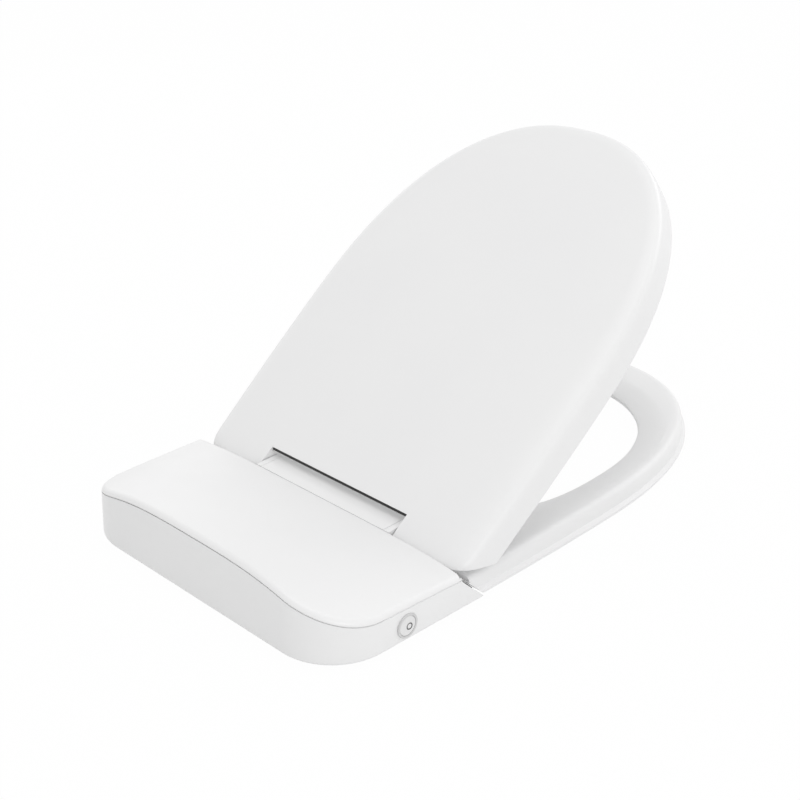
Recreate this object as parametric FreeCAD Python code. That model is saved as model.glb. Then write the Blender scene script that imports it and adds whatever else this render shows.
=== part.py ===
import FreeCAD, Part
import math
import os

# Bidet toilet seat: a slim rear housing that is bolted on the bowl, a wrap-over lid and a D-shaped seat.
# Millimetres. The origin is midway between the two fixing holes, on the bowl's rim. +Z is up, the seat's
# front points to -Y, and the push button is on the -X wall, at the user's right hand.

Vector = FreeCAD.Vector
overrun = 5.0

# Hinge axis, along X
hinge_y = -45.0
hinge_z = 34.0
lid_open_deg = 36.5
barrel_r = 14.8
groove_gap = 0.6
pin_r = 3.0
bush_r = 5.6
bush_length = 15.5
damper_length = 30.0
running_gap = 0.05
seat_gap = 0.02
part_gap = 0.3

# Hinge line: posts of the housing stand between the seat's block and the lid's barrels
block_half = 77.7
post_inner = 78.0
post_outer = 84.0
barrel_inner = 85.3
barrel_outer = 142.0
strip_up = 7.5

# Housing
case_half_front = 169.0
case_taper = 8.5
case_toe = -13.0
case_front = 13.5
case_rear = 153.9
case_corner = 56.0
case_bottom = 5.5
case_bottom_round = 3.0
toe_blunt = 2.2
case_wall = 3.0
wall_lean_share = 0.035
cavity_front = 20.0
slant_level = 32.0

# Top cover
cover_front_level = 41.5
cover_rear_level = 68.0
cover_side_front_level = 37.4
cover_side_rear_level = 41.2
cover_front_power_share = 5.0
cover_rear_power_share = 3.1
cover_edge = 4.2
cover_round = 6.0
cover_thick = 2.6
cover_reveal = 0.7
cover_lip_depth = 4.0
cover_lip_thick = 2.0
cover_boss_r = 4.5

# Lid and seat outline, in plan
lid_side_step = 4.3
plan_swell = 4.6
plan_half_rear = case_half_front - lid_side_step
plan_half_wide = plan_half_rear + plan_swell
plan_wide_ahead = 185.0
plan_length = 434.0
barrel_end_gap = 1.5
groove_end = plan_half_rear + barrel_end_gap
plan_front_power_share = 2.3

# Lid, drawn closed and then turned up to its open pose
lid_top_up = 8.5
lid_rim_up = -23.0
lid_wall = 2.4
lid_corner = 28.0
lid_rear_over = 2.0
lid_notch_ahead = 16.5
lid_tail = 7.0
lid_end_gap = 9.3
lid_soft_share = 2.4
lid_rises = (0.0, 14.0, 21.0, 24.5, 27.0, 28.7, 29.9, 30.7, 31.2, 31.5)
lid_insets = (0.0, 0.45, 0.8, 1.25, 2.0, 3.1, 4.6, 6.7, 9.6, 14.0)
lid_bumper_r = 6.0

# Seat
seat_low = 5.0
seat_split = 9.0
seat_top = 26.0
seat_rises = (0.0, 1.2, 3.0, 6.0, 12.0, 16.0, 18.3, 19.8, 20.6, 21.0)
seat_insets = (0.9, 0.1, 0.3, 3.4, 3.9, 4.7, 6.2, 8.4, 11.2, 15.2)
seat_end_gap = 2.4
ring_side = 42.1
ring_front = 63.8
opening_half = plan_half_wide - ring_side
opening_mid_ahead = 217.0
opening_front = plan_length - ring_front
opening_rear = 76.0
opening_front_power_share = 2.3
opening_rear_power_share = 2.7
# The ring's inner edge is a thin lip, dished above and drawn back below
opening_rises = (0.0, 4.0, 7.2, 8.3, 8.9, 11.6, 12.6, 13.6, 15.2, 17.0, 18.8, 20.1, 21.0)
opening_insets = (21.5, 13.0, 4.5, 1.2, 0.0, 0.0, 0.7, 2.4, 5.6, 10.0, 15.0, 19.5, 25.0)
bumper_r = 8.0

# Seat's hinge block
tongue_front = 52.0
tongue_top_up = -13.0
neck_up = -4.0

# Push button
button_back = 74.0
button_level = 19.4
button_r = 8.5
button_travel = 2.0
button_proud = 0.6
bezel_r = 10.6
bezel_proud = 0.9
bezel_length = 10.5
spring_wire_r = 0.35
spring_r = 5.0
spring_turns = 3

# Fixing plate on the bowl
hole_spacing = 155.0
slot_width = 6.5
slot_length = 30.0
plate_margin = 32.5
plate_half_x = hole_spacing / 2 + plate_margin
plate_half_y = 20.0
plate_thick = 3.0
plate_corner = 8.0

# Wash nozzle
nozzle_r = 6.5
nozzle_tilt_deg = 15.0
nozzle_cross_level = 16.0
nozzle_length = 122.0
nozzle_tip_length = 26.0
nozzle_travel = 75.0

# Water fittings: a 3/8 inch pipe thread
inlet_r = 8.33
inlet_neck_r = 8.6
inlet_back = 62.0
inlet_level = 18.5
gland_back = 108.0
gland_level = 18.0


# Helpers: places are given as a distance behind the hinge axis and a height above it
def point(x, back, up):
    return Vector(x, hinge_y + back, hinge_z + up)


def bar(x0, x1, profile):
    corners = [point(x0, back, up) for back, up in profile]
    face = Part.Face(Part.makePolygon(corners + corners[:1]))
    return face.extrude(Vector(x1 - x0, 0, 0))


def rod(x0, x1, radius, back=0, up=0):
    return Part.makeCylinder(radius, x1 - x0, point(x0, back, up), Vector(1, 0, 0))


def peg(x, y, low, high, radius):
    return Part.makeCylinder(radius, high - low, Vector(x, y, low))


def block(x0, x1, back0, back1, low, high):
    return Part.makeBox(x1 - x0, back1 - back0, high - low, Vector(x0, hinge_y + back0, low))


def mirrored(shape):
    return shape.mirror(Vector(0, 0, 0), Vector(1, 0, 0))


def pair(shape):
    return Part.makeCompound([shape, mirrored(shape)])


def cut_all(shape, tools):
    for tool in tools:
        shape = shape.cut(tool)
    return shape


# Housing form
def case_half(back):
    run_share = (back - case_toe) / (case_rear - case_toe)
    return case_half_front - case_taper * run_share


def case_corners(inset, front, level):
    lean = inset + (level - button_level) * wall_lean_share
    rear = case_rear - lean
    half_front = case_half(front) - lean
    half_rear = case_half(rear) - lean
    return [
        Vector(-half_front, hinge_y + front, level),
        Vector(half_front, hinge_y + front, level),
        Vector(half_rear, hinge_y + rear, level),
        Vector(-half_rear, hinge_y + rear, level),
    ]


def case_prism(inset, front, low, high):
    below = case_corners(inset, front, low)
    above = case_corners(inset, front, high)
    rings = [below[::-1], above]
    for side in range(len(below)):
        rings.append([below[side - 1], below[side], above[side], above[side - 1]])
    prism = Part.Solid(Part.Shell([Part.Face(Part.makePolygon(ring + ring[:1])) for ring in rings]))
    tall = [e for e in prism.Edges if e.BoundBox.ZLength > (high - low) / 2]
    edges = [e for e in tall if e.CenterOfMass.y > hinge_y + case_rear / 2]
    return prism.makeFillet(case_corner - inset, edges)


def upright(edge):
    ends = [v.Point for v in edge.Vertexes]
    return len(ends) == 2 and abs(ends[0].z - ends[1].z) > overrun and edge.BoundBox.XLength < seat_gap


def cover_level(x, back):
    run_share = (back - case_front) / (case_rear - case_front)
    middle = cover_front_level + (cover_rear_level - cover_front_level) * run_share
    side = cover_side_front_level + (cover_side_rear_level - cover_side_front_level) * run_share
    power_share = cover_front_power_share + (cover_rear_power_share - cover_front_power_share) * run_share
    across_share = abs(x) / case_half(back)
    return middle - (middle - side) * across_share**power_share


cover_columns = 21
cover_rows = 9
cover_spread_share = 1.06


def under_cover(depth):
    reach = case_half_front * cover_spread_share
    start = case_toe - 2 * overrun
    step_back = (case_rear + 2 * overrun - start) / (cover_rows - 1)
    rows = []
    for row in range(cover_rows):
        back = start + step_back * row
        xs = [reach * (2 * column / (cover_columns - 1) - 1) for column in range(cover_columns)]
        rows.append([Vector(x, hinge_y + back, cover_level(x, back) - depth) for x in xs])
    surface = Part.BSplineSurface()
    surface.interpolate(rows)
    return surface.toShape().extrude(Vector(0, 0, -2 * cover_rear_level))


def case_body():
    body = case_prism(0, case_toe - overrun, case_bottom, 2 * cover_rear_level)
    low_edges = [e for e in body.Edges if on_level(e, case_bottom) and behind(e, case_toe)]
    body = body.makeFillet(case_bottom_round, low_edges)
    body = body.common(under_cover(0))
    crest = [e for e in body.Edges if is_crest(e)]
    return body.makeFillet(cover_round, crest)


def on_level(edge, level):
    return abs(edge.BoundBox.ZMin - level) < seat_gap and edge.BoundBox.ZLength < seat_gap


def behind(edge, back):
    return edge.BoundBox.YMax > hinge_y + back


def is_crest(edge):
    high = edge.BoundBox.ZMin > cover_side_front_level - overrun
    return high and behind(edge, 0) and not upright(edge)


def front_clear():
    below = case_bottom - overrun - hinge_z
    return bar(
        -case_half_front - overrun,
        case_half_front + overrun,
        [
            (case_toe + toe_blunt, below),
            (case_toe + toe_blunt, case_bottom + toe_blunt - hinge_z),
            (case_front, slant_level - hinge_z),
            (case_front, cover_rear_level),
            (-3 * case_corner, cover_rear_level),
            (-3 * case_corner, below),
        ],
    )


# Nozzle line, in the middle plane of the housing
nozzle_dir = Vector(0, -math.cos(math.radians(nozzle_tilt_deg)), -math.sin(math.radians(nozzle_tilt_deg)))
nozzle_cross = Vector(0, hinge_y + case_front - (slant_level - nozzle_cross_level), nozzle_cross_level)


def nozzle_rod(start, length, radius):
    return Part.makeCylinder(radius, length, nozzle_cross + nozzle_dir * start, nozzle_dir)


case_outer = case_body()
case_front_clear = front_clear()
cover_join = under_cover(cover_edge + cover_reveal)
bolt_x = hole_spacing / 2
dome_wall = 2.5
dome_half_x = 21.0
dome_half_y = 13.0
dome_level = 15.5
button_x = -case_half(button_back)
bezel_gap = 0.05
recess_depth = 20.0
recess_half = 16.0
recess_level = 31.0
inlet_wall_x = case_half(inlet_back) - recess_depth
gland_r = 5.5
port_gap = 1.2
screw_r = 1.7
screw_head_r = 3.4
screw_head_depth = 1.6
screw_bite = 10.0
screw_across_shares = (0.87, 0.694, 0.235, 0.212)
screw_depth_shares = (0.19, 0.876, 0.889, 0.178)
screw_places = [
    (sign * case_half_front * across_share, case_rear * depth_share)
    for sign in (-1, 1)
    for across_share, depth_share in zip(screw_across_shares, screw_depth_shares)
]


def hinge_post():
    post = rod(post_inner, post_outer, barrel_r - seat_gap)
    top = block(post_inner - overrun, post_outer + overrun, -2 * barrel_r, 2 * barrel_r,
                hinge_z + strip_up, hinge_z + 3 * barrel_r)
    return post.cut(top)


def inlet_recess(grow):
    half = recess_half + grow
    outside = case_half_front + overrun
    return block(inlet_wall_x - grow, outside, inlet_back - half, inlet_back + half,
                 case_bottom - overrun + grow, recess_level + grow)


def lower_case():
    floor_top = case_bottom + case_wall
    shell = case_outer.common(cover_join).cut(case_front_clear)
    inside = case_prism(case_wall, cavity_front, floor_top, 2 * cover_rear_level)
    walls = shell.cut(inside)
    dome = block(bolt_x - dome_half_x, bolt_x + dome_half_x, -hinge_y - dome_half_y, -hinge_y + dome_half_y,
                 case_bottom + dome_wall, dome_level)
    dome_inside = block(bolt_x - dome_half_x + dome_wall, bolt_x + dome_half_x - dome_wall,
                        -hinge_y - dome_half_y + dome_wall, -hinge_y + dome_half_y - dome_wall,
                        case_bottom - overrun, dome_level - dome_wall)
    walls = walls.fuse(pair(dome)).cut(pair(dome_inside))
    walls = walls.fuse(inlet_recess(case_wall - seat_gap).common(shell)).cut(inlet_recess(0))
    walls = walls.cut(pair(rod(post_outer, groove_end, barrel_r + groove_gap)))
    walls = walls.cut(rod(-post_inner, post_inner, barrel_r + groove_gap))
    walls = walls.fuse(pair(hinge_post()))
    walls = walls.cut(pair(rod(post_inner - overrun, post_outer + overrun, pin_r + seat_gap)))
    holes = [
        rod(button_x - overrun, button_x + 2 * overrun, bezel_r + bezel_gap,
            button_back, button_level - hinge_z),
        rod(inlet_wall_x - overrun, inlet_wall_x + overrun, inlet_neck_r + seat_gap,
            inlet_back, inlet_level - hinge_z),
        rod(case_half(gland_back) - 2 * overrun, case_half_front + overrun, gland_r + seat_gap,
            gland_back, gland_level - hinge_z),
        nozzle_rod(-6 * overrun, 12 * overrun, nozzle_r + port_gap),
    ]
    for x, back in screw_places:
        holes.append(peg(x, hinge_y + back, case_bottom - overrun, floor_top + overrun, screw_r + seat_gap))
        holes.append(peg(x, hinge_y + back, case_bottom - overrun, case_bottom + screw_head_depth,
                         screw_head_r + seat_gap))
    return cut_all(walls, holes).removeSplitter()


def top_cover():
    floor_top = case_bottom + case_wall
    plate = case_outer.cut(under_cover(cover_edge)).cut(case_front_clear)
    plate = plate.cut(rod(-groove_end, groove_end, barrel_r + groove_gap))
    rim = case_wall + part_gap
    skin_under = under_cover(cover_thick)
    lip_front = cavity_front + part_gap
    lip_inner = case_prism(rim + cover_lip_thick, lip_front + cover_lip_thick,
                           case_bottom, 2 * cover_rear_level)
    lip_outer = case_prism(rim, lip_front, case_bottom, 2 * cover_rear_level)
    plate = plate.cut(lip_inner.common(skin_under))
    lip = lip_outer.cut(lip_inner).common(skin_under).cut(under_cover(cover_edge + cover_lip_depth))
    plate = plate.fuse(lip.cut(inlet_recess(case_wall + part_gap)))
    for x, back in screw_places:
        boss = peg(x, hinge_y + back, floor_top, 2 * cover_rear_level, cover_boss_r)
        plate = plate.fuse(boss.common(under_cover(cover_thick - part_gap)))
        plate = plate.cut(peg(x, hinge_y + back, 0, floor_top + screw_bite + overrun, screw_r + seat_gap))
    return plate.removeSplitter()


def case_screws():
    screws = []
    for x, back in screw_places:
        shank_top = case_bottom + case_wall + screw_bite
        head = peg(x, hinge_y + back, case_bottom, case_bottom + screw_head_depth, screw_head_r)
        screws.append(head.fuse(peg(x, hinge_y + back, case_bottom, shank_top, screw_r)))
    return Part.makeCompound(screws)


# Hinge pins, bushes and dampers
def hinge_pins():
    left = rod(block_half - bush_length - damper_length, barrel_inner + bush_length, pin_r)
    right = rod(-barrel_inner - bush_length - damper_length, -block_half + bush_length, pin_r)
    return Part.makeCompound([left, right])


def sleeve(x0, x1):
    return rod(x0, x1, bush_r).cut(rod(x0 - overrun, x1 + overrun, pin_r + running_gap))


def seat_bushes():
    return pair(sleeve(block_half - bush_length, block_half))


def lid_bushes():
    return pair(sleeve(barrel_inner, barrel_inner + bush_length))


def seat_damper():
    inner = block_half - bush_length - damper_length
    return sleeve(inner, block_half - bush_length)


def lid_damper():
    outer = -barrel_inner - bush_length
    return sleeve(outer - damper_length, outer)


# Lid and seat outline
side_steps = 5
front_steps = 11


def plan_half(ahead):
    return plan_half_rear + (plan_half_wide - plan_half_rear) * math.sin(math.pi / 2 * ahead / plan_wide_ahead)


def plan_points(inset, rear, corner, soft_share, wall):
    def drawn_in(ahead):
        return wall + inset * (1 + soft_share * (1 - max(ahead, 0) / plan_length) ** 2)

    right = []
    start = rear
    if corner > 0:
        start = rear + corner
        for step in range(side_steps):
            turn = math.pi / 2 * step / side_steps
            ahead = start - corner * math.cos(turn)
            x = plan_half(start) - drawn_in(start) - corner + corner * math.sin(turn)
            right.append((x, ahead))
    for step in range(side_steps):
        ahead = start + (plan_wide_ahead - start) * step / side_steps
        right.append((plan_half(ahead) - drawn_in(ahead), ahead))
    for step in range(front_steps):
        turn = math.pi / 2 * step / front_steps
        across_share = math.cos(turn) ** (2 / plan_front_power_share)
        run_share = math.sin(turn) ** (2 / plan_front_power_share)
        pull = drawn_in(plan_wide_ahead + (plan_length - plan_wide_ahead) * run_share)
        front = plan_length - plan_wide_ahead - pull
        right.append(((plan_half_wide - pull) * across_share, plan_wide_ahead + front * run_share))
    tip = [(0, plan_length - drawn_in(plan_length))]
    left = [(-x, ahead) for x, ahead in reversed(right)]
    return right + tip + left


def plan_wire(level, inset, rear, corner=0, soft_share=0, wall=0):
    places = plan_points(inset, rear, corner, soft_share, wall)
    points = [Vector(x, hinge_y - ahead, level) for x, ahead in places]
    side = Part.BSplineCurve()
    side.interpolate(points)
    return Part.Wire([side.toShape(), Part.LineSegment(points[-1], points[0]).toShape()])


def lid_loft(levels, rear, corner, wall=0):
    wires = [plan_wire(z, inset, rear, corner, lid_soft_share, wall) for z, inset in zip(levels, lid_insets)]
    return Part.makeLoft(wires, True, True)


opening_steps = 24


def opening_reach(forward):
    if forward > 0:
        return opening_front - opening_mid_ahead, opening_front_power_share
    return opening_mid_ahead - opening_rear, opening_rear_power_share


def opening_wire(level, grow):
    points = []
    for step in range(opening_steps):
        turn = 2 * math.pi * step / opening_steps
        reach, power_share = opening_reach(math.cos(turn))
        side = math.copysign(abs(math.sin(turn)) ** (2 / power_share), math.sin(turn))
        along = math.copysign(abs(math.cos(turn)) ** (2 / power_share), math.cos(turn))
        ahead = opening_mid_ahead + (reach + grow) * along
        points.append(Vector((opening_half + grow) * side, hinge_y - ahead, level))
    curve = Part.BSplineCurve()
    curve.interpolate(points, PeriodicFlag=True)
    return Part.Wire([curve.toShape()])


# Seat and lid end in a plane that runs parallel to the housing's slanted front
def end_clear(x0, x1, gap):
    offset = slant_level - hinge_z - case_front + gap * math.sqrt(2)
    deep = 2 * case_corner
    low = -deep - deep
    return bar(x0, x1, [(-deep, offset - deep), (deep, offset + deep), (deep, low), (-deep, low)])


def nozzle_channel():
    grow = nozzle_r + 2 * port_gap
    tube = nozzle_rod(-2 * overrun, nozzle_travel + nozzle_tip_length, grow)
    return Part.makeCompound([tube, tube.translated(Vector(0, 0, -grow))])


def seat_form():
    levels = [seat_low + rise for rise in seat_rises]
    form = Part.makeLoft([plan_wire(z, inset, -overrun) for z, inset in zip(levels, seat_insets)], True, True)
    span = seat_top - seat_low
    openings = [seat_low + rise * (span + 2 * seat_gap) / span - seat_gap for rise in opening_rises]
    form = form.cut(Part.makeLoft([opening_wire(z, g) for z, g in zip(openings, opening_insets)], True, True))
    wide = case_half_front + overrun
    form = form.cut(end_clear(-wide, wide, seat_end_gap))
    form = form.cut(rod(-wide, wide, barrel_r + groove_gap))
    for tool in nozzle_channel().Solids:
        form = form.cut(tool)
    return form


seat_solid = seat_form()
seat_split_box = block(-case_half_front - overrun, case_half_front + overrun, -plan_length - overrun,
                       case_rear, -overrun, seat_split)


def tongue_profile(grow):
    offset = slant_level - hinge_z - case_front + seat_end_gap * math.sqrt(2) - grow
    low = seat_split - hinge_z - grow
    high = tongue_top_up + grow
    front = -tongue_front - grow
    return [
        (low - offset, low),
        (front, low),
        (front, high),
        (-barrel_r, neck_up + grow),
        (0, 0),
        (-barrel_r * math.sqrt(0.5) - offset / 2, -barrel_r * math.sqrt(0.5) + offset / 2),
    ]


seat_screw_across_shares = (0.83, 0.32)
seat_screw_ahead_share = 0.8
seat_screw_places = [
    (sign * block_half * across_share, -tongue_front * seat_screw_ahead_share)
    for sign in (-1, 1)
    for across_share in seat_screw_across_shares
]
relief_ahead_share = 0.66
relief_up_share = 0.2


def hinge_block():
    body = rod(-block_half, block_half, barrel_r)
    wide = block_half + overrun
    body = body.cut(block(-wide, wide, -2 * barrel_r, 2 * barrel_r, hinge_z + strip_up, hinge_z + 3 * barrel_r))
    body = body.fuse(bar(-block_half, block_half, tongue_profile(0)))
    body = body.cut(rod(-wide, wide, pin_r + 2 * running_gap))
    inner = block_half - bush_length
    body = body.cut(rod(inner - damper_length, wide, bush_r + seat_gap))
    body = body.cut(rod(-wide, -inner, bush_r + seat_gap))
    half = nozzle_r + 2 * port_gap
    relief = rod(-half, half, 2 * barrel_r).cut(rod(-half, half, barrel_r - overrun))
    under = block(-half, half, -barrel_r * relief_ahead_share, 2 * barrel_r,
                  0, hinge_z + barrel_r * relief_up_share)
    body = body.cut(relief.common(under))
    for tool in nozzle_channel().Solids:
        body = body.cut(tool)
    for x, back in seat_screw_places:
        body = body.cut(peg(x, hinge_y + back, 0, seat_split + screw_bite, screw_r + seat_gap))
    return body.removeSplitter()


def seat_ring():
    ring = seat_solid.cut(seat_split_box)
    tongue_room = bar(-block_half - part_gap, block_half + part_gap, tongue_profile(seat_gap))
    return ring.cut(tongue_room).removeSplitter()


def seat_base():
    base = seat_solid.common(seat_split_box)
    for x, back in seat_screw_places:
        base = base.cut(peg(x, hinge_y + back, 0, seat_split + overrun, screw_r + seat_gap))
        base = base.cut(peg(x, hinge_y + back, 0, seat_low + screw_head_depth, screw_head_r + seat_gap))
    return base.removeSplitter()


def seat_screws():
    screws = []
    for x, back in seat_screw_places:
        head = peg(x, hinge_y + back, seat_low, seat_low + screw_head_depth, screw_head_r)
        screws.append(head.fuse(peg(x, hinge_y + back, seat_low, seat_split + screw_bite - part_gap, screw_r)))
    return Part.makeCompound(screws)


def ring_place(ahead, outer_share):
    run_share = (ahead - plan_wide_ahead) / (plan_length - plan_wide_ahead)
    outer = plan_half(ahead)
    if run_share > 0:
        outer = plan_half_wide * (1 - run_share**plan_front_power_share) ** (1 / plan_front_power_share)
    reach, power_share = opening_reach(ahead - opening_mid_ahead)
    open_share = min(abs(ahead - opening_mid_ahead) / reach, 1)
    inner = opening_half * (1 - open_share**power_share) ** (1 / power_share)
    return inner + (outer - inner) * outer_share


seat_bumper_aheads = (130.0, 325.0)
bumper_foot_share = 0.8
seat_bumper_share = 0.75


def seat_bumpers():
    feet = []
    for ahead in seat_bumper_aheads:
        place = Vector(ring_place(ahead, seat_bumper_share), hinge_y - ahead, 0)
        foot = Part.makeCone(bumper_r * bumper_foot_share, bumper_r, seat_low, place)
        feet += [foot, mirrored(foot)]
    return Part.makeCompound(feet)


# Lid, closed
def lid_closed():
    levels = [hinge_z + lid_rim_up + rise for rise in lid_rises]
    rear = -barrel_r - lid_rear_over
    outer = lid_loft(levels, rear, lid_corner)
    lowered = [level - lid_wall for level in levels]
    inner = lid_loft(lowered, rear + lid_wall, lid_corner - lid_wall, lid_wall)
    wide = case_half_front + overrun
    behind_axis = block(-wide, wide, lid_tail, 2 * barrel_r, 0, hinge_z + 2 * barrel_r)
    shell = cut_all(outer.cut(inner), [behind_axis, end_clear(-wide, wide, lid_end_gap)])
    shell = shell.fuse(rod(-barrel_outer, barrel_outer, barrel_r).common(outer))
    notch = block(-barrel_inner, barrel_inner, -lid_notch_ahead, 2 * barrel_r, 0, hinge_z + 2 * barrel_r)
    shell = shell.cut(notch)
    bush_end = barrel_inner + bush_length
    shell = shell.cut(pair(rod(barrel_inner - overrun, bush_end, bush_r + seat_gap)))
    return shell.cut(rod(-bush_end - damper_length, -bush_end + overrun, bush_r + seat_gap))


lid_bumper_ahead = 330.0
lid_bumper_share = 0.5


def lid_bumpers_closed():
    low = seat_top + part_gap
    high = hinge_z + lid_top_up - lid_wall - seat_gap
    place = Vector(ring_place(lid_bumper_ahead, lid_bumper_share), hinge_y - lid_bumper_ahead, low)
    foot = Part.makeCone(lid_bumper_r * bumper_foot_share, lid_bumper_r, high - low, place)
    return pair(foot)


def opened(shape):
    turned = shape.copy()
    turned.rotate(point(0, 0, 0), Vector(1, 0, 0), -lid_open_deg)
    return turned


# Push button
def button_rod(start, end, radius):
    return rod(button_x + start, button_x + end, radius, button_back, button_level - hinge_z)


bezel_lip = 2.2
bezel_web = 1.5
bezel_flange_r = 10.85
bezel_flange = 1.4
collar_r = 9.5
collar_length = 2.2
stem_r = 3.0
dish_r = 40.0
dish_depth = 0.7


def button_bezel():
    body = button_rod(-bezel_proud, bezel_length, bezel_r)
    inner_wall = case_wall + 3 * part_gap
    body = body.fuse(button_rod(inner_wall, inner_wall + bezel_flange, bezel_flange_r))
    body = body.cut(button_rod(-overrun, bezel_lip, button_r + part_gap))
    body = body.cut(button_rod(bezel_lip, bezel_length - bezel_web, collar_r + part_gap))
    return body.cut(button_rod(0, bezel_length + overrun, stem_r + part_gap)).removeSplitter()


def button_cap():
    collar = bezel_lip + part_gap
    body = button_rod(-button_proud, collar + collar_length, button_r)
    body = body.fuse(button_rod(collar, collar + collar_length, collar_r))
    body = body.fuse(button_rod(0, bezel_length + part_gap, stem_r))
    middle = point(button_x - button_proud - dish_r + dish_depth, button_back, button_level - hinge_z)
    return body.cut(Part.makeSphere(dish_r, middle)).removeSplitter()


quarter_turn = math.pi / 2


def arc_from(start, knee, end):
    half = (start + end) * (1 / 2)
    turn_share = (half - start).Length / (knee - start).Length
    middle = half + (knee - half) * (turn_share / (1 + turn_share))
    return Part.Arc(start, middle, end).toShape()


def quarter_coil(start, heading, end, end_heading):
    chord = end - start
    along = chord.dot(heading + end_heading)
    bend_share = 2 - 2 * heading.dot(end_heading)
    arm = (math.sqrt(along**2 + bend_share * chord.dot(chord)) - along) / bend_share
    knee = start + heading * arm
    end_knee = end - end_heading * arm
    middle = (knee + end_knee) * (1 / 2)
    return [arc_from(start, knee, middle), arc_from(middle, end_knee, end)]


def button_spring():
    start = bezel_lip + part_gap + collar_length + spring_wire_r + seat_gap
    end = bezel_length - bezel_web - spring_wire_r - seat_gap
    rise = (end - start) / spring_turns / 4

    def place(step):
        turn = quarter_turn * step
        up = button_level - hinge_z + spring_r * math.sin(turn)
        return point(button_x + start + rise * step, button_back + spring_r * math.cos(turn), up)

    def heading(step):
        turn = quarter_turn * step
        way = Vector(rise / quarter_turn, -spring_r * math.sin(turn), spring_r * math.cos(turn))
        return way.normalize()

    path = []
    for step in range(4 * spring_turns):
        path += quarter_coil(place(step), heading(step), place(step + 1), heading(step + 1))
    ring = Part.Wire([Part.Circle(place(0), heading(0), spring_wire_r).toShape()])
    return Part.Wire(path).makePipeShell([ring], True, False)


switch_length = 12.0
switch_half = 3.5
switch_gap = 0.4


def micro_switch():
    start = button_x + bezel_length + part_gap + button_travel + switch_gap
    body = block(start, start + switch_length, button_back - 2 * switch_half, button_back + 2 * switch_half,
                 button_level - switch_half, button_level + switch_half)
    foot = block(start + switch_gap, start + switch_length, button_back - switch_half,
                 button_back + switch_half, case_bottom + case_wall, button_level)
    return body.fuse(foot).removeSplitter()


# Fixing plate and feet
def slot(x):
    straight = (slot_length - slot_width) / 2
    body = block(x - straight, x + straight, -hinge_y - slot_width / 2, -hinge_y + slot_width / 2,
                 -overrun, plate_thick + overrun)
    for side in (-straight, straight):
        body = body.fuse(peg(x + side, 0, -overrun, plate_thick + overrun, slot_width / 2))
    return body.removeSplitter()


pad_r = 9.0
pad_thick = 1.2
pad_places = (40.0,)
rail_width = 8.0


def mounting_plate():
    plate = block(-plate_half_x, plate_half_x, -hinge_y - plate_half_y, -hinge_y + plate_half_y, 0, plate_thick)
    uprights = [e for e in plate.Edges if abs(e.BoundBox.ZLength - plate_thick) < seat_gap]
    plate = plate.makeFillet(plate_corner, uprights)
    rail = block(plate_half_x - rail_width, plate_half_x, -hinge_y - plate_half_y + plate_corner,
                 -hinge_y + plate_half_y - plate_corner, plate_thick, case_bottom)
    plate = plate.fuse(pair(rail))
    plate = plate.cut(pair(slot(bolt_x)))
    for x in pad_places:
        plate = plate.cut(pair(peg(x, 0, -overrun, pad_thick, pad_r)))
    return plate.removeSplitter()


def plate_pads():
    return Part.makeCompound([pair(peg(x, 0, 0, pad_thick, pad_r)) for x in pad_places])


foot_r = 9.0
foot_across_shares = (0.776, 0.694)
foot_depth_shares = (0.775, 0.152)
foot_places = [
    (case_half_front * across_share, case_rear * depth_share)
    for across_share, depth_share in zip(foot_across_shares, foot_depth_shares)
]


def case_feet():
    feet = [Part.makeCone(foot_r * bumper_foot_share, foot_r, case_bottom, Vector(x, hinge_y + back, 0))
            for x, back in foot_places]
    return Part.makeCompound([pair(foot) for foot in feet])


# Wash nozzle and its guide
nozzle_bore_r = 2.2
nozzle_spray_r = 1.0
spray_share = 0.7


def nozzle_tube():
    tube = nozzle_rod(-nozzle_length, nozzle_length - nozzle_tip_length, nozzle_r - part_gap)
    return tube.cut(nozzle_rod(-nozzle_length - overrun, 2 * nozzle_length, nozzle_bore_r))


def nozzle_tip():
    tip = nozzle_rod(-nozzle_tip_length, nozzle_tip_length + 2 * overrun, nozzle_r)
    tip = tip.cut(case_front_clear.common(nozzle_rod(-nozzle_tip_length, 2 * nozzle_length, 2 * nozzle_r)))
    tip = tip.cut(nozzle_rod(-nozzle_tip_length - overrun, nozzle_tip_length / 2 + overrun, nozzle_bore_r))
    normal = Vector(0, nozzle_dir.z, -nozzle_dir.y)
    spray_from = nozzle_cross - nozzle_dir * (nozzle_tip_length * spray_share)
    return tip.cut(Part.makeCylinder(nozzle_spray_r, 2 * nozzle_r, spray_from, normal))


guide_wall = 2.0
guide_start = 34.0
guide_length = 78.0
guide_leg_back = 40.0
guide_leg_depth = 10.0


def nozzle_guide():
    outer = nozzle_rod(-guide_start - guide_length, guide_length, nozzle_r + part_gap + guide_wall)
    legs = block(-nozzle_r, nozzle_r, guide_leg_back, guide_leg_back + guide_leg_depth,
                 case_bottom + case_wall, hinge_z)
    rear_leg = legs.translated(Vector(0, guide_length / 2, 0))
    body = outer.fuse(legs).fuse(rear_leg)
    return body.cut(nozzle_rod(-2 * nozzle_length, 3 * nozzle_length, nozzle_r + part_gap)).removeSplitter()


# Water path
valve_half = 13.0
valve_height = 20.0
coil_r = 9.0
coil_height = 12.0


def inlet_rod(start, end, radius):
    return rod(inlet_wall_x + start, inlet_wall_x + end, radius, inlet_back, inlet_level - hinge_z)


inlet_bore_r = 5.0
inlet_flange_r = 9.9
inlet_flange = 2.5
inlet_length = 15.0
inlet_tail = 10.0
inlet_tail_r = 6.5
seal_r = 9.9


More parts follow.
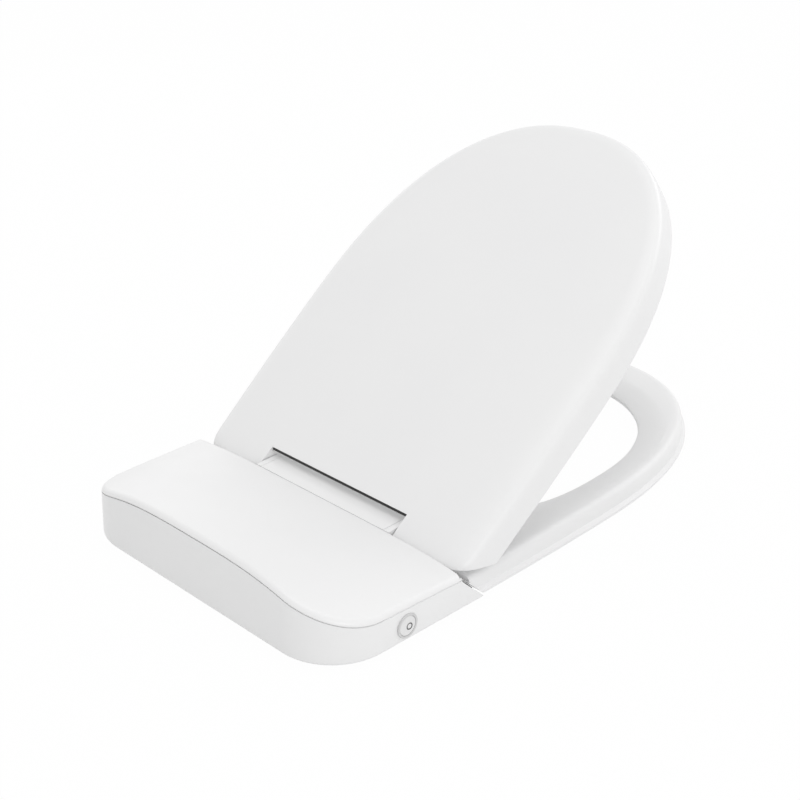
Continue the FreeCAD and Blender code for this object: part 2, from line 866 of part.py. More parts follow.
def water_inlet():
    body = inlet_rod(0, inlet_length, inlet_r)
    body = body.fuse(inlet_rod(-case_wall - inlet_flange, 0, inlet_neck_r))
    body = body.fuse(inlet_rod(-case_wall - inlet_flange - pad_thick, -case_wall - pad_thick, inlet_flange_r))
    body = body.fuse(inlet_rod(-case_wall - inlet_flange - inlet_tail, -case_wall - inlet_flange, inlet_tail_r))
    return body.cut(inlet_rod(-10 * overrun, recess_depth, inlet_bore_r)).removeSplitter()


def inlet_seal():
    ring = inlet_rod(-case_wall - pad_thick, -case_wall, seal_r)
    return ring.cut(inlet_rod(-10 * overrun, recess_depth, inlet_neck_r + seat_gap))


def inlet_valve():
    port = inlet_wall_x - case_wall - inlet_flange - inlet_tail
    body = block(port - 2 * valve_half, port, inlet_back - valve_half, inlet_back + valve_half,
                 case_bottom + case_wall, case_bottom + case_wall + valve_height)
    top = case_bottom + case_wall + valve_height
    coil = peg(port - valve_half, hinge_y + inlet_back, top, top + coil_height, coil_r)
    body = body.makeFillet(plate_thick, [e for e in body.Edges if upright(e)])
    return body.fuse(coil).removeSplitter()


heater_length = 92.0
heater_depth = 40.0
heater_height = 28.0
heater_x = 26.0
heater_back = 86.0
heater_round = 5.0
spout_r = 3.0
spout_height = 5.0
spout_shares = (0.25, 0.75)


def water_heater():
    low = case_bottom + case_wall
    body = block(heater_x, heater_x + heater_length, heater_back, heater_back + heater_depth,
                 low, low + heater_height)
    body = body.makeFillet(heater_round, [e for e in body.Edges if not on_level(e, low)])
    for share in spout_shares:
        spout = peg(heater_x + heater_length * share, hinge_y + heater_back + heater_depth / 2,
                    low + heater_height / 2, low + heater_height + spout_height, spout_r)
        body = body.fuse(spout)
    return body.removeSplitter()


gland_bore_r = 3.4
gland_flange_r = 8.0
gland_proud = 2.0
gland_tail = 6.0


def cable_gland():
    wall = case_half(gland_back)
    up = gland_level - hinge_z
    tail = wall - case_wall - gland_tail
    slope = case_taper / (case_rear - case_toe) + wall_lean_share
    seat = wall + seat_gap + gland_flange_r * slope + (button_level - gland_level) * wall_lean_share
    body = rod(tail, wall + gland_proud, gland_r, gland_back, up)
    body = body.fuse(rod(seat, wall + gland_proud, gland_flange_r, gland_back, up))
    bore = rod(tail - overrun, wall + gland_proud + overrun, gland_bore_r, gland_back, up)
    return body.cut(bore).removeSplitter()


board_length = 96.0
board_depth = 40.0
board_thick = 1.6
board_margin = 28.0
board_x = board_margin - case_half_front
board_back = 86.0
standoff_r = 3.0
standoff_height = 6.0
chip_height = 8.0
standoff_across_shares = (0.1, 0.9)
standoff_depth_shares = (0.18, 0.82)
chip_shares = (0.2, 0.45, 0.7)


def control_board():
    low = case_bottom + case_wall
    level = low + standoff_height
    board = block(board_x, board_x + board_length, board_back, board_back + board_depth,
                  level, level + board_thick)
    for share in standoff_across_shares:
        for depth_share in standoff_depth_shares:
            y = hinge_y + board_back + board_depth * depth_share
            board = board.fuse(peg(board_x + board_length * share, y, low, level, standoff_r))
    for share in chip_shares:
        x = board_x + board_length * share
        board = board.fuse(block(x, x + chip_height * 2, board_back + chip_height, board_back + 3 * chip_height,
                                 level, level + board_thick + chip_height))
    return board.removeSplitter()


nodes = {
    "lower_case": lower_case,
    "top_cover": top_cover,
    "case_screws": case_screws,
    "hinge_pins": hinge_pins,
    "seat_bushes": seat_bushes,
    "lid_bushes": lambda: opened(lid_bushes()),
    "seat_damper": seat_damper,
    "lid_damper": lambda: opened(lid_damper()),
    "hinge_block": hinge_block,
    "seat_ring": seat_ring,
    "seat_base": seat_base,
    "seat_screws": seat_screws,
    "seat_bumpers": seat_bumpers,
    "lid_shell": lambda: opened(lid_closed()),
    "lid_bumpers": lambda: opened(lid_bumpers_closed()),
    "button_bezel": button_bezel,
    "button_cap": button_cap,
    "button_spring": button_spring,
    "micro_switch": micro_switch,
    "mounting_plate": mounting_plate,
    "plate_pads": plate_pads,
    "case_feet": case_feet,
    "nozzle_tube": nozzle_tube,
    "nozzle_tip": nozzle_tip,
    "nozzle_guide": nozzle_guide,
    "water_inlet": water_inlet,
    "inlet_seal": inlet_seal,
    "inlet_valve": inlet_valve,
    "water_heater": water_heater,
    "cable_gland": cable_gland,
    "control_board": control_board,
}

os.makedirs("parts", exist_ok=True)
for name, make in nodes.items():
    shape = make()
    box = shape.BoundBox
    print(name, "solids", len(shape.Solids), "valid", shape.isValid(), "volume", round(shape.Volume))
    print("   x", round(box.XMin, 1), round(box.XMax, 1), "y", round(box.YMin, 1), round(box.YMax, 1),
          "z", round(box.ZMin, 1), round(box.ZMax, 1))
    shape.exportStep("parts/" + name + ".step")
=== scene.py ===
import math

import bmesh
import bpy
from mathutils import Matrix, Vector


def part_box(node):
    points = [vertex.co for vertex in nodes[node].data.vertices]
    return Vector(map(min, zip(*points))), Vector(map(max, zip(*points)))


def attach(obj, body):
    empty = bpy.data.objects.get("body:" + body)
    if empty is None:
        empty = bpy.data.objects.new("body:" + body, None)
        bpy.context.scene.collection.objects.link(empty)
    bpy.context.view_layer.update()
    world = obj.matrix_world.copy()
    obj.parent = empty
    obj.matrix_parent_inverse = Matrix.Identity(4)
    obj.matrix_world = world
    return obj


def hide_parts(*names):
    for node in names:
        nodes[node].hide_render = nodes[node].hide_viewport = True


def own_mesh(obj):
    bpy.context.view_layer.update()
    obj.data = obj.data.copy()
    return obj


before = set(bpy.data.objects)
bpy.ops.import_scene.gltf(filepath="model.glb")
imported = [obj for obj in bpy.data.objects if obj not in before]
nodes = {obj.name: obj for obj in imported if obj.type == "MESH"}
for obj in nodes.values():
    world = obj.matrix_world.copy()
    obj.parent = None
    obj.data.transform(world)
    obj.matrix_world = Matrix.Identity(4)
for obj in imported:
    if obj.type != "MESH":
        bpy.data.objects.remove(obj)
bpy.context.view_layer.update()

# Housing: a two-piece ABS moulding behind the hinge, an open tray below and a crowned cover clipped on top.
# Screws from below hold the two, a fine reveal runs between them, and the hinge block is of the same plastic.
# All come from polished tools, so the white surface is satin gloss with a faint orange peel.
white_light = (0.84, 0.84, 0.84)
white_dark = (0.83, 0.83, 0.832)
satin_roughness = (0.30, 0.38)
satin_peel_per_metre = 500
satin_peel_height = 0.00001
housing_coat = 0.15
coat_roughness = 0.25
plastic_ior = 1.5
tint_per_metre = 9
tint_detail = 3
sheen_per_metre = 60
sheen_detail = 4
peel_detail = 2
peel_strength = 0.5
tint_dark_share = 0.35
tint_light_share = 0.65
sheen_low_share = 0.3
sheen_high_share = 0.7
crisp_angle = math.radians(28)
weld_distance = 0.000002
edge_round = 0.0006


def socket(node, name, value):
    node.inputs[name].default_value = value


def new_finish(name):
    finish = bpy.data.materials.new(name)
    finish.use_nodes = True
    tree = finish.node_tree
    shader = tree.nodes["Principled BSDF"]
    place = tree.nodes.new("ShaderNodeTexCoord")
    return finish, tree, shader, place.outputs["Object"]


def noise(tree, place, per_metre, detail):
    texture = tree.nodes.new("ShaderNodeTexNoise")
    socket(texture, "Scale", per_metre)
    socket(texture, "Detail", detail)
    tree.links.new(place, texture.inputs["Vector"])
    return texture.outputs["Fac"]


def two_tone(tree, fac, light, dark, target):
    ramp = tree.nodes.new("ShaderNodeValToRGB")
    dark_end, light_end = ramp.color_ramp.elements
    dark_end.position = tint_dark_share
    light_end.position = tint_light_share
    dark_end.color = (*dark, 1)
    light_end.color = (*light, 1)
    tree.links.new(fac, ramp.inputs["Fac"])
    tree.links.new(ramp.outputs["Color"], target)


def spread(tree, fac, roughness, target):
    low, high = roughness
    span = tree.nodes.new("ShaderNodeMapRange")
    socket(span, "From Min", sheen_low_share)
    socket(span, "From Max", sheen_high_share)
    socket(span, "To Min", low)
    socket(span, "To Max", high)
    tree.links.new(fac, span.inputs["Value"])
    tree.links.new(span.outputs["Result"], target)


def raised(tree, fac, height, shader):
    bump = tree.nodes.new("ShaderNodeBump")
    socket(bump, "Distance", height)
    socket(bump, "Strength", peel_strength)
    tree.links.new(fac, bump.inputs["Height"])
    tree.links.new(bump.outputs["Normal"], shader.inputs["Normal"])


def soften_edges(finish, radius):
    tree = finish.node_tree
    edge = tree.nodes.new("ShaderNodeBevel")
    socket(edge, "Radius", radius)
    for bump in [node for node in tree.nodes if node.bl_idname == "ShaderNodeBump"]:
        tree.links.new(edge.outputs["Normal"], bump.inputs["Normal"])


def moulded_plastic(name, light, dark, roughness, peel_per_metre, peel_height, coat):
    finish, tree, shader, place = new_finish(name)
    tint = noise(tree, place, tint_per_metre, tint_detail)
    two_tone(tree, tint, light, dark, shader.inputs["Base Color"])
    sheen = noise(tree, place, sheen_per_metre, sheen_detail)
    spread(tree, sheen, roughness, shader.inputs["Roughness"])
    raised(tree, noise(tree, place, peel_per_metre, peel_detail), peel_height, shader)
    socket(shader, "IOR", plastic_ior)
    socket(shader, "Coat Weight", coat)
    socket(shader, "Coat Roughness", coat_roughness)
    return finish


def satin_white(name, coat):
    return moulded_plastic(
        name,
        light=white_light,
        dark=white_dark,
        roughness=satin_roughness,
        peel_per_metre=satin_peel_per_metre,
        peel_height=satin_peel_height,
        coat=coat,
    )


def even_out(piece):
    joined = piece.modifiers.new("joined_faces", "WELD")
    joined.merge_threshold = weld_distance
    crisp = piece.modifiers.new("crisp_edges", "EDGE_SPLIT")
    crisp.split_angle = crisp_angle
    piece.modifiers.new("even_shading", "WEIGHTED_NORMAL")


def dress(finish, *names):
    for name in names:
        piece = nodes[name]
        piece.data.materials.clear()
        piece.data.materials.append(finish)
        even_out(piece)


housing_plastic = satin_white("housing_plastic", housing_coat)
soften_edges(housing_plastic, edge_round)
dress(housing_plastic, "lower_case", "top_cover", "hinge_block")

# Lid: one thin-walled polypropylene shell that wraps down over the seat.
# It turns on two pins in its barrels, and soft bumpers keep it off the seat.
lid_coat = 0.15
lid_plastic = satin_white("lid_plastic", lid_coat)
dress(lid_plastic, "lid_shell")

# Seat: a solid ring with a thin inner lip on a flat base, in the same white as the lid.
# Ring, base and hinge block are screwed together from below, and the ring is polished where skin touches.
# The tip of the wash nozzle is moulded in the same plastic.
seat_coat = 0.2
seat_plastic = satin_white("seat_plastic", seat_coat)
dress(seat_plastic, "seat_ring", "seat_base", "nozzle_tip")

# Seat heels: the rounded rear ends of the seat's two sides, beside the hinge barrels.
# Each is moulded with the ring, carries its crown back to the housing and closes the hollow at its end.
# Each point of the profile gives the distance from the middle of the seat and the height.
heel_start = -0.0590
heel_end = -0.0489
heel_round = 0.0026
heel_side_round = 0.0006
heel_floor = 0.0186
heel_narrowing_share = 0.039
heel_arc_steps = 8
heel_profile = [
    (0.1610, heel_floor), (0.1607, 0.02014), (0.16053, 0.02097), (0.15995, 0.0219), (0.1592, 0.0230),
    (0.1583, 0.02385), (0.15695, 0.02468), (0.1541, 0.02554), (0.1500, 0.02597), (0.1432, 0.02597),
    (0.1432, heel_floor),
]


def new_piece(name, verts, faces, finish):
    mesh = bpy.data.meshes.new(name)
    mesh.from_pydata(verts, [], faces)
    mesh.materials.append(finish)
    piece = bpy.data.objects.new(name, mesh)
    bpy.context.scene.collection.objects.link(piece)
    return piece


def ring_faces(rows, steps):
    faces = []
    for row in range(rows - 1):
        near = row * steps
        far = near + steps
        for step in range(steps):
            after = (step + 1) % steps
            faces.append((near + step, near + after, far + after, far + step))
    return faces


def closed_bar_faces(first, rows, corners):
    last_row = (rows - 1) * corners
    faces = ring_faces(rows, corners)
    faces.append(range(corners))
    faces.append(range(last_row, last_row + corners))
    return [[first + corner for corner in face] for face in faces]


def turn_outward(piece):
    body = bmesh.new()
    body.from_mesh(piece.data)
    bmesh.ops.recalc_face_normals(body, faces=body.faces[:])
    body.to_mesh(piece.data)
    body.free()
    piece.data.shade_smooth()


heel_rows = [(heel_start, 0), (heel_end - heel_round, 0)]
for step in range(1, heel_arc_steps + 1):
    turned = math.pi / 2 * step / heel_arc_steps
    heel_rows.append((heel_end - heel_round + heel_round * math.sin(turned), 1 - math.cos(turned)))
heel_top = max(z for x, z in heel_profile)
heel_verts = []
heel_faces = []
for side in (-1, 1):
    heel_faces += closed_bar_faces(len(heel_verts), len(heel_rows), len(heel_profile))
    for y, fall in heel_rows:
        kept = 1 - fall * heel_round / (heel_top - heel_floor)
        drawn_in = heel_narrowing_share * (y - heel_start) + heel_side_round * fall
        for x, z in heel_profile:
            heel_verts.append((side * (x - drawn_in), y, heel_floor + kept * (z - heel_floor)))
seat_heels = new_piece("seat_heels", heel_verts, heel_faces, seat_plastic)
turn_outward(seat_heels)
even_out(seat_heels)
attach(seat_heels, "seat")

# Push button: a dished cap that slides in a bezel pressed into the housing's wall.
# The bezel is given a greyer tone as painted shade for the dark shadow gap around the cap, so that the button
# reads as a ring and a disc.
button_roughness = (0.3, 0.4)
button_grain_per_metre = 1500
button_grain_height = 0.00003
button_coat = 0.1


def button_moulding(name, light, dark):
    return moulded_plastic(
        name,
        light=light,
        dark=dark,
        roughness=button_roughness,
        peel_per_metre=button_grain_per_metre,
        peel_height=button_grain_height,
        coat=button_coat,
    )


button_plastic = button_moulding("button_plastic", light=(0.78, 0.78, 0.78), dark=(0.76, 0.76, 0.762))
dress(button_plastic, "button_cap")
# Painted shade: the bezel's grey tone stands in for the shadow in the gap around the cap.
bezel_painted_shade = button_moulding("bezel_painted_shade", light=(0.64, 0.64, 0.64), dark=(0.61, 0.61, 0.612))
dress(bezel_painted_shade, "button_bezel")

# Mark on the push button: a plain ring, pad-printed in dark grey ink on the cap's dish.
# The ink follows the hollow of the dish and stands a few hundredths of a millimetre proud of it.
dish_r = 0.040
dish_depth = 0.0007
mark_outer_r = 0.0031
mark_inner_r = 0.0021
mark_lift = 0.00004
mark_ahead = 0.0024
mark_drop = 0.0017
mark_steps = 48
cap_low, cap_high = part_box("button_cap")
cap_middle = (Vector(cap_low) + Vector(cap_high)) / 2
mark_verts = []
for ring_r in (mark_inner_r, mark_outer_r):
    for step in range(mark_steps):
        around = 2 * math.pi * step / mark_steps
        y = ring_r * math.cos(around) - mark_ahead
        z = ring_r * math.sin(around) - mark_drop
        hollow = cap_low[0] + dish_depth - dish_r + math.sqrt(dish_r**2 - y**2 - z**2)
        mark_verts.append((hollow - mark_lift, cap_middle.y + y, cap_middle.z + z))
grey_ink = moulded_plastic(
    "grey_ink",
    light=(0.08, 0.08, 0.08),
    dark=(0.06, 0.06, 0.06),
    roughness=(0.5, 0.6),
    peel_per_metre=3000,
    peel_height=0.00001,
    coat=0,
)
button_mark = new_piece("button_mark", mark_verts, ring_faces(2, mark_steps), grey_ink)
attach(button_mark, "button")

# Inside the housing and under it: plain engineering mouldings, a coated circuit board and rubber pieces.
# The mouldings and the board are clipped or screwed in before the cover closes the housing.
# The rubber feet, bumpers and seals are pressed into their seats.
grey_moulding = moulded_plastic(
    "grey_moulding",
    light=(0.52, 0.53, 0.53),
    dark=(0.48, 0.49, 0.49),
    roughness=(0.5, 0.62),
    peel_per_metre=900,
    peel_height=0.00006,
    coat=0,
)
dress(grey_moulding, "seat_bushes", "lid_bushes", "mounting_plate", "nozzle_guide", "water_heater")
black_moulding = moulded_plastic(
    "black_moulding",
    light=(0.05, 0.05, 0.055),
    dark=(0.035, 0.035, 0.04),
    roughness=(0.45, 0.6),
    peel_per_metre=900,
    peel_height=0.00006,
    coat=0,
)
dress(black_moulding, "seat_damper", "lid_damper", "micro_switch", "inlet_valve")
board_laminate = moulded_plastic(
    "board_laminate",
    light=(0.03, 0.2, 0.08),
    dark=(0.02, 0.15, 0.06),
    roughness=(0.3, 0.45),
    peel_per_metre=600,
    peel_height=0.00003,
    coat=0.2,
)
dress(board_laminate, "control_board")
rubber_roughness = (0.7, 0.85)
rubber_grain_per_metre = 1800
rubber_grain_height = 0.0001


def soft_rubber(name, light, dark):
    return moulded_plastic(
        name,
        light=light,
        dark=dark,
        roughness=rubber_roughness,
        peel_per_metre=rubber_grain_per_metre,
        peel_height=rubber_grain_height,
        coat=0,
    )


grey_rubber = soft_rubber("grey_rubber", light=(0.60, 0.60, 0.59), dark=(0.55, 0.55, 0.54))
dress(grey_rubber, "seat_bumpers", "lid_bumpers")
# This black serves the real feet, pads and seals, and also the painted shade strips in the hinge gaps.
black_rubber = soft_rubber("black_rubber", light=(0.03, 0.03, 0.03), dark=(0.022, 0.022, 0.022))
dress(black_rubber, "plate_pads", "case_feet", "inlet_seal", "cable_gland")

# Shade strips: black strips set in the gaps of the hinge as painted shade, for the deep shadow in those gaps.
# Two lie in the gaps behind the seat's heels, one at the cover's front edge, and one rides on
# the edge of the lid's notch, just clear of the hinge block. Their profiles give depth and height.
hinge_y = -0.045
hinge_z = 0.034
strip_taper = 0.0006
strip_taper_share = 0.55
heel_shade_runs = [(-0.1605, -0.1425), (0.1425, 0.1605)]
heel_shade_profile = [
    (-0.0449, 0.0188), (-0.0452, 0.0192), (-0.0457, 0.0193), (-0.0462, 0.0192), (-0.0466, 0.0188),
    (-0.0495, 0.0159), (-0.0523, 0.0131), (-0.0525, 0.0127), (-0.0521, 0.0123), (-0.0514, 0.0124),
    (-0.0482, 0.0156),
]
notch_shade_run = [(-0.085, 0.085)]
notch_shade_profile = [
    (-0.0546, 0.04885), (-0.05385, 0.0499), (-0.0534, 0.0492), (-0.0528, 0.0482), (-0.05285, 0.0479),
    (-0.05315, 0.04775), (-0.0535, 0.0478), (-0.0537, 0.048),
]
cover_shade_run = [(-0.0770, 0.0770)]
cover_shade_near_r = 0.01505
cover_shade_far_r = 0.01545
cover_shade_angles = [math.radians(angle) for angle in (15, 19, 23, 27)]


def around_hinge(r, angle):
    return hinge_y + r * math.cos(angle), hinge_z + r * math.sin(angle)


def shade_strip(name, profile, runs, rides):
    middle = Vector([sum(values) / len(profile) for values in zip(*profile)])
    verts = []
    faces = []
    for start, end in runs:
        stations = [(start, strip_taper_share), (start + strip_taper, 1), (end - strip_taper, 1), (end, strip_taper_share)]
        faces += closed_bar_faces(len(verts), len(stations), len(profile))
        for x, size_share in stations:
            for corner in profile:
                place = middle + (Vector(corner) - middle) * size_share
                verts.append((x, place.x, place.y))
    # Each strip is black as painted shade in its gap.
    shade_piece = new_piece(name, verts, faces, black_rubber)
    turn_outward(shade_piece)
    even_out(shade_piece)
    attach(shade_piece, rides)


near_side = [around_hinge(cover_shade_near_r, angle) for angle in cover_shade_angles]
far_side = [around_hinge(cover_shade_far_r, angle) for angle in reversed(cover_shade_angles)]
# Painted shade: black strips behind the heels, in the cover's seam and under the lid's notch edge.
shade_strip("heel_gap_shade", heel_shade_profile, heel_shade_runs, "base")
shade_strip("cover_seam_shade", near_side + far_side, cover_shade_run, "base")
shade_strip("notch_gap_shade", notch_shade_profile, notch_shade_run, "lid")

# Seam fill: a white strip in the reveal between tray and cover, along the wall with the button, as painted
# light.
# It fills the reveal's shadow, so the seam shows there only as a faint line.
# Each point of its profile gives how far it lies in from the wall, and its height.
seam_start = (-0.16706, -0.0290, 0.03262)
seam_end = (-0.16286, 0.0520, 0.03499)
seam_profile = [
    (0.00040, 0.0), (0.00025, 0.0002), (0.00022, 0.00042), (0.00025, 0.00064), (0.00040, 0.00086),
    (0.0012, 0.00095), (0.0012, 0.00025),
]
seam_verts = []
for end in (seam_start, seam_end):
    seam_verts += [Vector(end) + Vector((inward, 0, up)) for inward, up in seam_profile]
seam_faces = closed_bar_faces(0, 2, len(seam_profile))
# Painted light: the white fill hides the gap's shadow, as if light reached into the seam.
seam_painted_light = new_piece("seam_painted_light", seam_verts, seam_faces, housing_plastic)
turn_outward(seam_painted_light)
even_out(seam_painted_light)
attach(seam_painted_light, "base")

# Hinge pins and nozzle tube: ground stainless steel, cut from bar and from drawn tube.
# The pins are pushed through bushes and dampers, and the tube slides in its guide.
metal_tint_per_metre = 200
metal_tint_detail = 4
metal_sheen_per_metre = 900
metal_sheen_detail = 3
metal_grain_per_metre = 2500
metal_grain_detail = 2
metal_grain_height = 0.00001


def metal(name, light, dark, roughness):
    finish, tree, shader, place = new_finish(name)
    tint = noise(tree, place, metal_tint_per_metre, metal_tint_detail)
    two_tone(tree, tint, light, dark, shader.inputs["Base Color"])
    sheen = noise(tree, place, metal_sheen_per_metre, metal_sheen_detail)
    spread(tree, sheen, roughness, shader.inputs["Roughness"])
    raised(tree, noise(tree, place, metal_grain_per_metre, metal_grain_detail), metal_grain_height, shader)
    socket(shader, "Metallic", 1)
    return finish


stainless_steel = metal(
    "stainless_steel",
    light=(0.62, 0.62, 0.61),
    dark=(0.55, 0.55, 0.54),
    roughness=(0.29, 0.38),
)
dress(stainless_steel, "hinge_pins", "nozzle_tube")

# Button spring: three open turns of stainless wire between the cap's collar and the web of the bezel.
# It shortens by the button's travel when the cap is pressed, and pushes the cap back out.
spring_wire_r = 0.00034
spring_turns = 3
spring_steps_per_turn = 32
spring_wire_steps = 10
spring_low, spring_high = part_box("button_spring")
spring_middle = (Vector(spring_low) + Vector(spring_high)) / 2
coil_r = (spring_high[1] - spring_low[1]) / 2 - spring_wire_r
coil_length = spring_high[0] - spring_low[0] - 2 * spring_wire_r
spring_rows = spring_turns * spring_steps_per_turn + 1
spring_verts = []
for row in range(spring_rows):
    around = 2 * math.pi * row / spring_steps_per_turn
    outward = Vector((0, math.cos(around), math.sin(around)))
    along = spring_low[0] + spring_wire_r + coil_length * row / (spring_rows - 1)
    core = Vector((along, spring_middle.y, spring_middle.z)) + outward * coil_r
    for step in range(spring_wire_steps):
        wire = 2 * math.pi * step / spring_wire_steps
        sideways = outward * spring_wire_r * math.cos(wire)
        lengthways = Vector((spring_wire_r * math.sin(wire), 0, 0))
        spring_verts.append(core + sideways + lengthways)
spring_faces = closed_bar_faces(0, spring_rows, spring_wire_steps)
coil_spring = new_piece("coil_spring", spring_verts, spring_faces, stainless_steel)
turn_outward(coil_spring)
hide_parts("button_spring")
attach(coil_spring, "base")
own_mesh(coil_spring)

# Screws under the housing and under the seat: cross-recessed pan heads in stainless steel.
# They are driven from below into bosses, and the heads lie in shallow counterbores.
screw_shank_r = 0.0017
screw_edge = 0.0002
screw_spread = 0.0102
recess_reach_share = 0.58
recess_arm_share = 0.14
recess_floor_share = 0.55
recess_depth_share = 0.75
recess_arms = 4
head_depth = 0.0016
screw_steps = 32


def screw_boxes(piece):
    screws = []
    for vertex in piece.data.vertices:
        near = [screw for screw in screws if (screw[0] - vertex.co).xy.length < screw_spread]
        if near:
            near[0].append(vertex.co)
        else:
            screws.append([vertex.co])
    boxes = []
    for places in screws:
        lows = Vector([min(values) for values in zip(*places)])
        highs = Vector([max(values) for values in zip(*places)])
        boxes.append((lows, highs))
    return boxes


def add_loop(body, middle, points, level):
    verts = [body.verts.new((middle.x + x, middle.y + y, level)) for x, y in points]
    edges = [body.edges.new((verts[k - 1], verts[k])) for k in range(len(verts))]
    return verts, edges


def cross_screws(name, node, rides):
    body = bmesh.new()
    turns = [2 * math.pi * step / screw_steps for step in range(screw_steps)]
    for lows, highs in screw_boxes(nodes[node]):
        middle = (lows + highs) / 2
        head_r = (highs.x - lows.x) / 2
        rows = [
            (head_r - screw_edge, lows.z),
            (head_r, lows.z + screw_edge),
            (head_r, lows.z + head_depth),
            (screw_shank_r, lows.z + head_depth),
            (screw_shank_r, highs.z),
        ]
        loops = []
        for r, z in rows:
            circle = [(r * math.cos(turned), r * math.sin(turned)) for turned in turns]
            loops.append(add_loop(body, middle, circle, z))
        for first, second in zip(loops, loops[1:]):
            bmesh.ops.bridge_loops(body, edges=first[1] + second[1])
        body.faces.new(loops[-1][0])
        reach = head_r * recess_reach_share
        arm = head_r * recess_arm_share
        cross = []
        for quarter in range(recess_arms):
            turned = Matrix.Rotation(2 * math.pi * quarter / recess_arms, 2)
            cross += [turned @ Vector(corner) for corner in ((reach, -arm), (reach, arm), (arm, arm))]
        mouth = add_loop(body, middle, cross, lows.z)
        deep = lows.z + head_depth * recess_depth_share
        recess_floor = add_loop(body, middle, [corner * recess_floor_share for corner in cross], deep)
        bmesh.ops.bridge_loops(body, edges=loops[0][1] + mouth[1])
        bmesh.ops.bridge_loops(body, edges=mouth[1] + recess_floor[1])
        body.faces.new(recess_floor[0])
    bmesh.ops.recalc_face_normals(body, faces=body.faces[:])
    piece = new_piece(name, [], [], stainless_steel)
    body.to_mesh(piece.data)
    body.free()
    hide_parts(node)
    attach(piece, rides)


cross_screws("case_cross_screws", "case_screws", "base")
cross_screws("seat_cross_screws", "seat_screws", "seat")

# Water inlet: a turned brass fitting that goes through the housing's side and is sealed by a rubber ring.
# Its free end carries a 3/8 inch pipe thread for the nut of the supply hose.
bore_r = 0.005
tail_r = 0.0065
flange_r = 0.0099
flange_back = 0.0067
flange_front = 0.0042
neck_r = 0.0086
thread_r = 0.00833
thread_depth = 0.00086
thread_pitch = 0.001337
thread_length = 0.015
thread_start = 0.0008
thread_taper = 0.0014
thread_rows = 96
turned_steps = 64
inlet_low, inlet_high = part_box("water_inlet")
inlet_y = (inlet_low[1] + inlet_high[1]) / 2
inlet_z = (inlet_low[2] + inlet_high[2]) / 2
inlet_wall = inlet_high[0] - thread_length
thread_root_r = thread_r - thread_depth
turned_rows = [
    (inlet_low[0], bore_r, 0),
    (inlet_low[0], tail_r, 0),
    (inlet_wall - flange_back, tail_r, 0),
    (inlet_wall - flange_back, flange_r, 0),
    (inlet_wall - flange_front, flange_r, 0),
    (inlet_wall - flange_front, neck_r, 0),
    (inlet_wall, neck_r, 0),
    (inlet_wall, thread_root_r, 0),
]
for row in range(thread_rows + 1):
    run = thread_start + (thread_length - thread_start) * row / thread_rows
    fade = min(1, (run - thread_start) / thread_taper, (thread_length - run) / thread_taper)
    turned_rows.append((inlet_wall + run, thread_root_r, max(fade, 0) * thread_depth))
turned_rows += [(inlet_high[0], bore_r, 0), (inlet_low[0], bore_r, 0)]
turned_verts = []
for x, r, ridge in turned_rows:
    for step in range(turned_steps):
        around = 2 * math.pi * step / turned_steps
        phase = ((x - inlet_wall) / thread_pitch - step / turned_steps) % 1
        radius = r + ridge * (1 - abs(2 * phase - 1))
        turned_verts.append((x, inlet_y + radius * math.cos(around), inlet_z + radius * math.sin(around)))
turned_faces = ring_faces(len(turned_rows), turned_steps)
brass_fitting = metal(
    "brass_fitting",
    light=(0.72, 0.55, 0.28),
    dark=(0.66, 0.49, 0.24),
    roughness=(0.29, 0.42),
)
threaded_inlet = new_piece("threaded_inlet", turned_verts, turned_faces, brass_fitting)
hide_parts("water_inlet")
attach(threaded_inlet, "base")

# Studio floor and air: a white sweep that shows as white, with a trace of the contact shadow.
# The air gives an even light from all sides, as a white tent does.
floor_half = 6.0
floor_white = (0.82, 0.82, 0.82, 1)
seen_white_share = 0.985
air_light = 0.76
air_white = (1, 1, 1, 1)
floor_corners = [
    (-floor_half, -floor_half, 0),
    (floor_half, -floor_half, 0),
    (floor_half, floor_half, 0),
    (-floor_half, floor_half, 0),
]


def seen_rays(tree):
    path = tree.nodes.new("ShaderNodeLightPath")
    first = tree.nodes.new("ShaderNodeMath")
    first.operation = "MAXIMUM"
    tree.links.new(path.outputs["Is Camera Ray"], first.inputs[0])
    tree.links.new(path.outputs["Is Glossy Ray"], first.inputs[1])
    second = tree.nodes.new("ShaderNodeMath")
    second.operation = "MAXIMUM"
    tree.links.new(first.outputs["Value"], second.inputs[0])
    tree.links.new(path.outputs["Is Transmission Ray"], second.inputs[1])
    return second.outputs["Value"]


sweep = bpy.data.materials.new("studio_floor")
sweep.use_nodes = True
tree = sweep.node_tree
tree.nodes.remove(tree.nodes["Principled BSDF"])
paint = tree.nodes.new("ShaderNodeBsdfDiffuse")
socket(paint, "Color", floor_white)
white = tree.nodes.new("ShaderNodeEmission")
socket(white, "Strength", 1)
share = tree.nodes.new("ShaderNodeMath")
share.operation = "MULTIPLY"
socket(share, 1, seen_white_share)
tree.links.new(seen_rays(tree), share.inputs[0])
blend = tree.nodes.new("ShaderNodeMixShader")
tree.links.new(share.outputs["Value"], blend.inputs["Fac"])
tree.links.new(paint.outputs["BSDF"], blend.inputs[1])
tree.links.new(white.outputs["Emission"], blend.inputs[2])
tree.links.new(blend.outputs["Shader"], tree.nodes["Material Output"].inputs["Surface"])
floor = new_piece("floor", floor_corners, [range(len(floor_corners))], sweep)

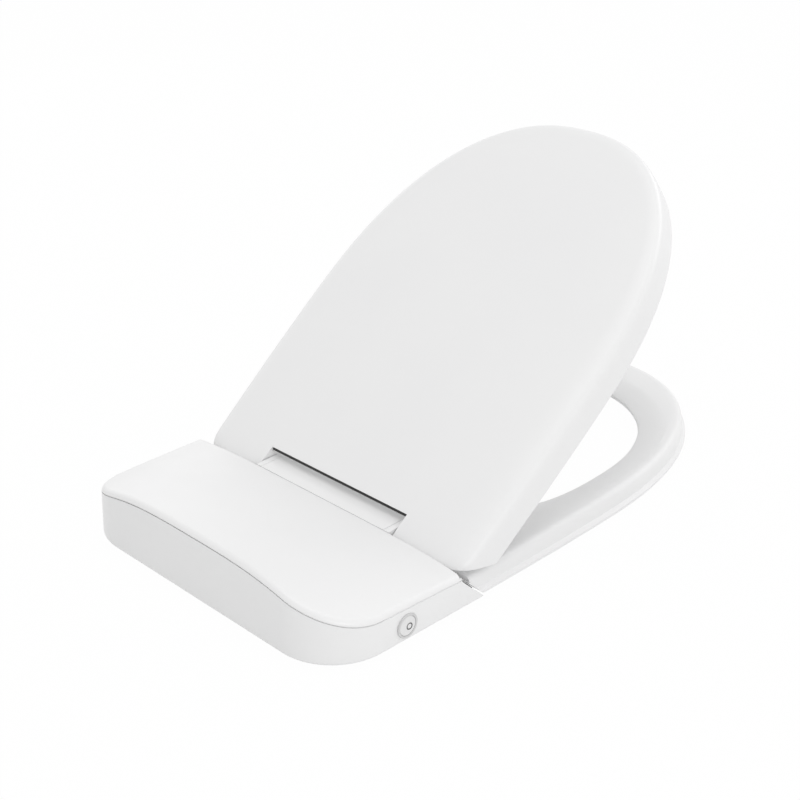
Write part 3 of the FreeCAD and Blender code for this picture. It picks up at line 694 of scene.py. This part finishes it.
world = bpy.data.worlds.new("studio_air")
bpy.context.scene.world = world
world.use_nodes = True
tree = world.node_tree
air = tree.nodes["Background"]
level = tree.nodes.new("ShaderNodeMapRange")
socket(level, "To Min", air_light)
socket(level, "To Max", 1)
tree.links.new(seen_rays(tree), level.inputs["Value"])
tree.links.new(level.outputs["Result"], air.inputs["Strength"])
socket(air, "Color", air_white)


# Studio lamps: four wide soft boxes, one overhead, a low one on each side and one before the seat.
# They keep the white surfaces below clipping, so that the shapes still show.
def soft_box(name, place, target, width, height, watts):
    lamp = bpy.data.lights.new(name, "AREA")
    lamp.shape = "RECTANGLE"
    lamp.size = width
    lamp.size_y = height
    lamp.energy = watts
    holder = bpy.data.objects.new(name, lamp)
    bpy.context.scene.collection.objects.link(holder)
    holder.location = place
    holder.rotation_euler = (Vector(target) - Vector(place)).to_track_quat("-Z", "Y").to_euler()


soft_box("top_box", place=(0, -0.1, 2.0), target=(0, -0.1, 0), width=1.6, height=1.6, watts=7)
soft_box("right_box", place=(-1.5, 0.6, 0.45), target=(0, 0.05, 0.03), width=0.9, height=0.7, watts=4.3)
soft_box("front_box", place=(-0.5, -1.7, 1.1), target=(0, -0.35, 0.02), width=1.4, height=1.0, watts=5.4)
soft_box("left_box", place=(1.6, -0.6, 0.6), target=(0, -0.25, 0.02), width=1.4, height=1.0, watts=1.7)

# Camera: the photo's view, from behind and from the user's right, looking down on the open lid.
# Its place and its focal length, in pixels of the photo, come from a fit over the outlines of the object.
photo_focal = 1400.0
photo_side = 800.0
film_width = 36
azimuth = math.radians(224.067)
elevation = math.radians(26.715)
distance = 1.216845
across = 0.092382
above = 0.131681
flat = math.cos(elevation)
back = Vector((math.sin(azimuth) * flat, -math.cos(azimuth) * flat, math.sin(elevation)))
right = Vector((0, 0, 1)).cross(back).normalized()
up = back.cross(right)
lens = bpy.data.cameras.new("camera")
lens.sensor_width = film_width
lens.lens = photo_focal * film_width / photo_side
camera = bpy.data.objects.new("camera", lens)
bpy.context.scene.collection.objects.link(camera)
turn = Matrix((right, up, back)).transposed().to_4x4()
turn.translation = right * across + up * above + back * distance
camera.matrix_world = turn
bpy.context.scene.camera = camera
bpy.context.scene.view_settings.view_transform = "Standard"
